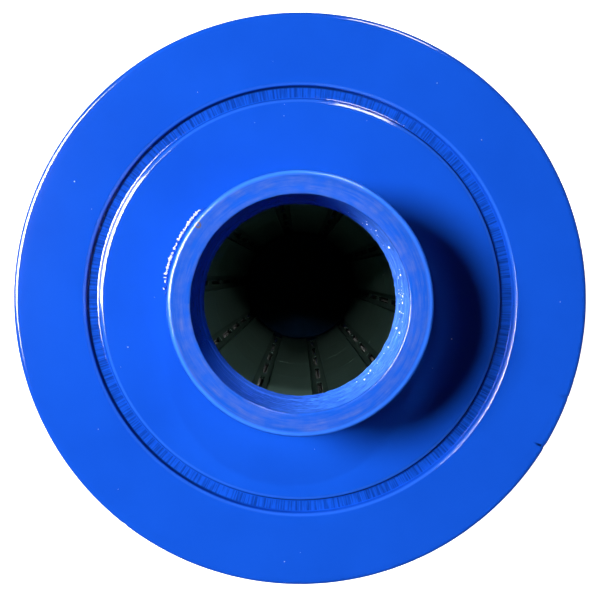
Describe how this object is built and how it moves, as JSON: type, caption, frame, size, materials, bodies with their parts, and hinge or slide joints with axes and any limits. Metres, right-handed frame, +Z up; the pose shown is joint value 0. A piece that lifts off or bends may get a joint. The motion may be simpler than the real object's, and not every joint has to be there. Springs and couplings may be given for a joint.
{
  "type": "filter cartridge",
  "caption": "Pleated water filter cartridge for a pool or spa, with a grooved blue end cap that has a hollow male spigot, a slotted core and a closed end cap with a recessed lifting bar.",
  "frame": {"origin": "middle of the closed end cap's flat outer face, on which the cartridge stands", "axes": "+Z up the cartridge's axis, out of the fitting end; +X along the lifting bar in the closed end"},
  "size_m": [0.1174, 0.1174, 0.3265],
  "materials": {
    "cap_polyurethane": "satin",
    "adapter_plastic": "satin",
    "handle_plastic": "satin",
    "core_plastic": "matte",
    "filter_fabric": "matte",
    "band_fabric": "matte",
    "clip_plastic": "satin"
  },
  "bodies": {
    "root": {"fitting_end_cap": "cap_polyurethane", "closed_end_cap": "cap_polyurethane", "pipe_adapter": "adapter_plastic", "lift_handle": "handle_plastic", "pleated_media": "filter_fabric", "seam_clip": "clip_plastic", "pleat_band_1": "band_fabric", "pleat_band_2": "band_fabric", "core_section_1": "core_plastic", "core_section_2": "core_plastic", "core_section_3": "core_plastic", "core_section_4": "core_plastic", "core_section_5": "core_plastic", "core_section_6": "core_plastic"}
  },
  "joints": []
}
